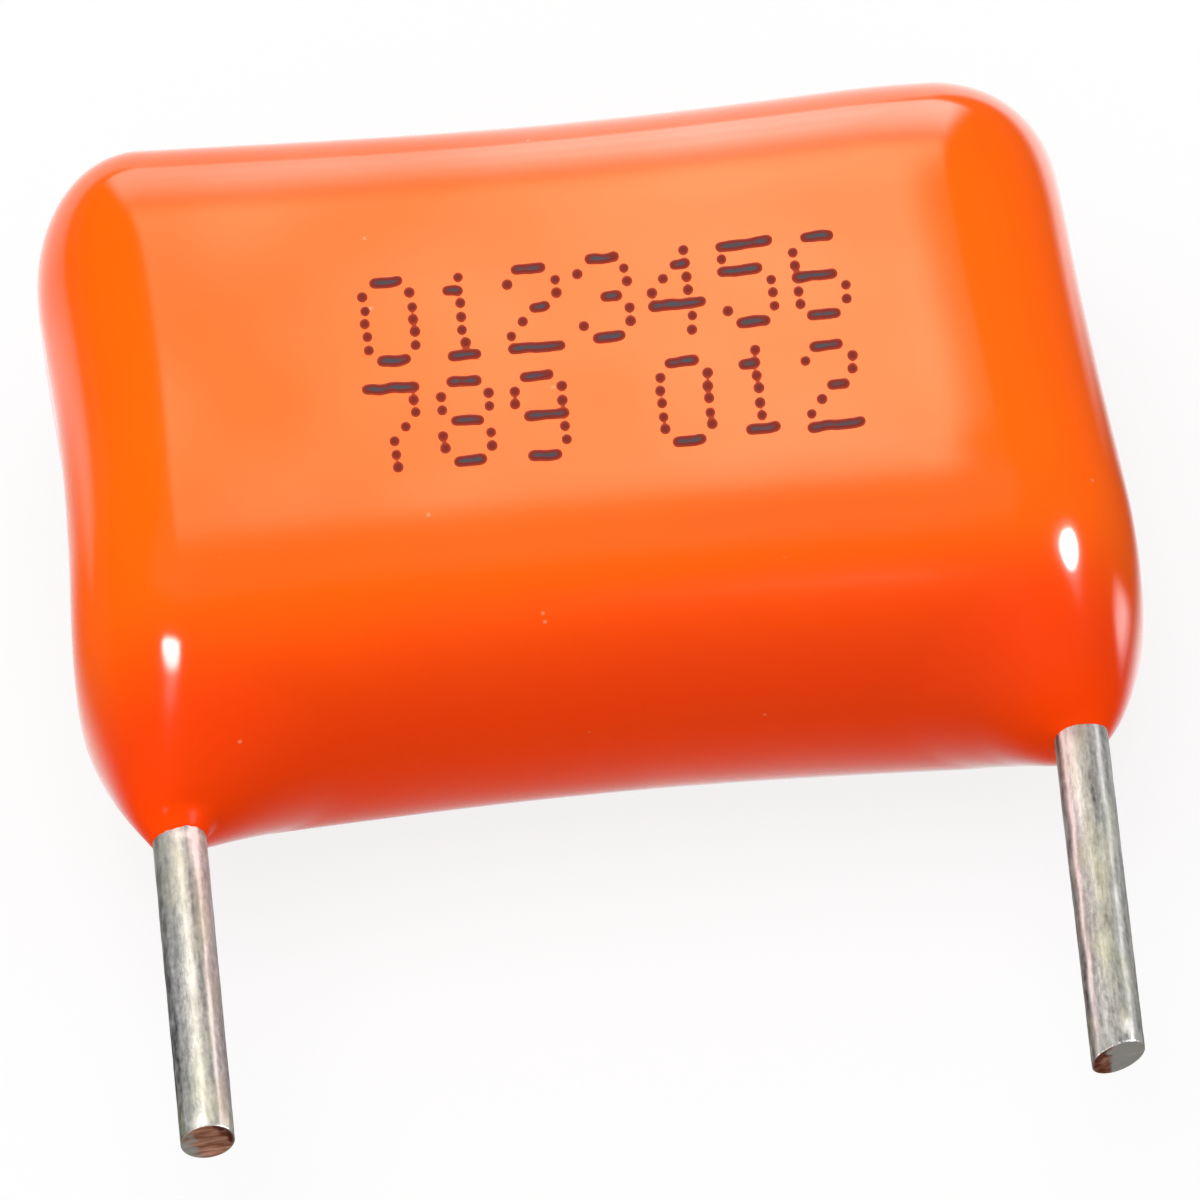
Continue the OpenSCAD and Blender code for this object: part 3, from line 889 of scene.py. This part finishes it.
def addWorld(s):
    world = bpy.data.worlds.new("studio")
    scene.world = world
    world.use_nodes = True
    tree = world.node_tree
    fill = tree.nodes["Background"]
    fill.inputs["Color"].default_value = (1, 1, 1, 1)
    fill.inputs["Strength"].default_value = s["fill"]
    shine = addNode(tree, "Background", None, Color=(1, 1, 1, 1), Strength=s["shine"])
    seen = addNode(tree, "Background", None, Color=(1, 1, 1, 1), Strength=1.0)
    path = addNode(tree, "LightPath")
    glossy = addNode(tree, "MixShader", None, i0=path.outputs["Is Glossy Ray"])
    tree.links.new(fill.outputs[0], glossy.inputs[1])
    tree.links.new(shine.outputs[0], glossy.inputs[2])
    camera = addNode(tree, "MixShader", None, i0=path.outputs["Is Camera Ray"])
    tree.links.new(glossy.outputs[0], camera.inputs[1])
    tree.links.new(seen.outputs[0], camera.inputs[2])
    tree.links.new(camera.outputs[0], tree.nodes["World Output"].inputs[0])


def addLight(name, direction, distance, width, height, glow, glossy):
    # an area light that faces the part; a glossy one is a card that only reflections see
    data = bpy.data.lights.new(name, "AREA")
    data.shape = "ELLIPSE" if glossy else "RECTANGLE"
    data.size, data.size_y = width, height
    data.energy = glow * width * height * math.pi
    light = bpy.data.objects.new(name, data)
    out = Vector(direction).normalized()
    side = Vector((0, 0, 1)).cross(out)
    side.normalize()
    turn = Matrix((side, out.cross(side), out)).transposed().to_4x4()
    light.matrix_world = Matrix.Translation(Vector(studioSettings["partMiddle"]) + out * distance) @ turn
    light.visible_camera = False
    light.visible_glossy = glossy
    light.visible_diffuse = not glossy
    light.visible_transmission = glossy
    scene.collection.objects.link(light)


def addKeyLight(s):
    size = s["keySize"]
    addLight("key", s["keyFrom"], s["keyDistance"], size, size, s["keyGlow"], glossy=False)


reflectorSettings = {
    "radius": 250.0,
    "middle": (0.0, 1.0, 4.0),
    # angle from straight up towards +Y, glow, half width in degrees
    "profile": (
        (-2, 0.0, 4), (4, 0.12, 5), (9, 0.35, 6), (15, 0.95, 7), (21, 1.6, 8), (28, 1.9, 8),
        (36, 2.1, 10), (42, 2.2, 12), (48, 2.0, 14), (54, 1.3, 16), (58, 1.7, 18), (62, 2.8, 19),
        (68, 3.8, 20), (76, 4.2, 21), (84, 3.7, 21), (90, 3.0, 21),
    ),
    "soft": 9.0,
    "columns": 61,
    "warmBelow": (58, 8),  # warmer light below this angle, and over how many degrees it turns
    "cloud": (0.22, 0.25),  # how fine the unevenness is, and how strong
}


def hangingMaterial(name):
    # emission only, by the glow and the warmth that the sheet carries
    material = bpy.data.materials.new(name)
    material.use_nodes = True
    tree = material.node_tree
    tree.nodes.remove(tree.nodes["Principled BSDF"])
    glow = addNode(tree, "Attribute", {"attribute_name": "glow"}).outputs["Fac"]
    warm = addNode(tree, "Attribute", {"attribute_name": "warm"}).outputs["Fac"]
    colour = mixColours(tree, warm, (1, 1, 1), studioSettings["warmColour"])
    light = addNode(tree, "Emission", None, Color=colour, Strength=glow)
    tree.links.new(light.outputs[0], tree.nodes["Material Output"].inputs[0])
    return material


def gridFaces(rows, n):
    return [(i * n + k, i * n + k + 1, (i + 1) * n + k + 1, (i + 1) * n + k)
            for i in range(rows - 1) for k in range(n - 1)]


def hideFromAllButGloss(piece):
    piece.visible_camera = piece.visible_diffuse = piece.visible_shadow = False
    piece.visible_transmission = piece.visible_volume_scatter = False


def addReflector(s):
    # a curved sheet of light over the part, which only reflections see
    angles, glows, widths = (np.array(c, float) for c in zip(*s["profile"]))
    tilt = np.arange(angles[0], angles[-1] + 0.1, 1.0)
    glow, wide = np.interp(tilt, angles, glows), np.interp(tilt, angles, widths)[:, None]
    across = np.linspace(-1, 1, s["columns"])
    side = np.radians((wide + s["soft"] / 2) * across)
    t = np.radians(tilt)[:, None]
    x, y, z = np.sin(side), np.cos(side) * np.sin(t), np.cos(side) * np.cos(t)
    points = np.stack([x, y, z], -1).reshape(-1, 3) * s["radius"] + np.array(s["middle"])
    points[:, 2] = np.maximum(points[:, 2], 0.2)
    offMiddle = np.abs(np.degrees(side))
    fade = smoothStep((wide - offMiddle) / s["soft"] + 0.5)
    warmUntil, warmRun = s["warmBelow"]
    warm = smoothStep((warmUntil - tilt) / warmRun)
    fine, strong = s["cloud"]
    cloud = [noise.noise(Vector((math.degrees(b) * fine, a * fine, 4.0)))
             for a, row in zip(tilt, side) for b in row]
    uneven = 1 + strong * np.reshape(cloud, side.shape) * np.clip(1.5 - offMiddle / 6, 0, 1)
    faces = gridFaces(len(tilt), len(across))
    sheet = makePiece("reflector", points, faces, [hangingMaterial("reflectorGlow")])
    addValues(sheet, "glow", ((glow * (1 + warm))[:, None] * fade * uneven).ravel())
    addValues(sheet, "warm", np.repeat(warm, len(across)))
    hideFromAllButGloss(sheet)


groundSettings = {
    "lines": 121,  # each way, closer together near the part
    "spread": (14, 2980),  # in mm, how far they go evenly and how far the last ones leap
    "height": 0.02,
    "partHalf": 6,
    # painted shade in the reflections, in front of the part
    "dark": 0.03,
    "left": (0.14, 0.9, 2.8),  # far off, extra beside the part, how far that reaches in mm
    "right": (0.05, 1.1, 1.5),
    "paleFrom": (-3.5, 4),  # along Y: where the dark front turns pale, and over what length
    "behind": 1.3,
    "behindFrom": (4.5, 3),
    "behindReach": (4, 1.5),
    "foot": 0.3,
    "footBand": (-1.8, 1.1),  # middle and half width along Y
    "patch": (11.0, 0.0, 2.2, 0.7, 3.5),  # a bright card lying beside the part: middle, half size, glow
}


def addGround(s):
    # a glowing sheet over the floor that only reflections see, a painted reflection of the floor: dark in
    # front, pale beside and behind the part
    steps = np.linspace(-1, 1, s["lines"])
    even, leap = s["spread"]
    line = np.sign(steps) * (np.abs(steps) * even + np.abs(steps) ** 10 * leap)
    x, y = np.meshgrid(line, line)

    def bySide(pair):
        return np.where(x > 0, pair[1], pair[0])

    def rampUp(place):
        return smoothStep((y - place[0]) / place[1])

    beside = np.abs(x) - s["partHalf"]
    far, near, reach = (bySide(pair) for pair in zip(s["left"], s["right"]))
    pale = far + near * np.exp(-((np.maximum(beside, 0) / reach) ** 3))
    behind = rampUp(s["behindFrom"]) * smoothStep(3 - beside / bySide(s["behindReach"]))
    pale += (s["behind"] - pale) * behind
    glow = s["dark"] + (pale - s["dark"]) * rampUp(s["paleFrom"])
    footY, footHalf = s["footBand"]
    foot = s["foot"] * np.exp(-(((y - footY) / footHalf) ** 2)) * smoothStep(1 - beside)
    patchX, patchY, halfX, halfY, patchGlow = s["patch"]
    patch = patchGlow * np.exp(-(((x - patchX) / halfX) ** 4) - ((y - patchY) / halfY) ** 4)
    points = np.stack([x, y, 0 * x + s["height"]], -1).reshape(-1, 3)
    faces = gridFaces(len(line), len(line))
    ground = makePiece("ground", points, faces, [hangingMaterial("groundGlow")])
    addValues(ground, "glow", np.maximum(glow, np.maximum(foot, patch)).ravel())
    hideFromAllButGloss(ground)


addFloor(studioSettings)
addWorld(studioSettings)
addKeyLight(studioSettings)
addReflector(reflectorSettings)
addGround(groundSettings)
for name, card in studioSettings["cards"].items():
    addLight(name, *card, glossy=True)
scene.view_settings.view_transform = "Standard"
print("studio set")
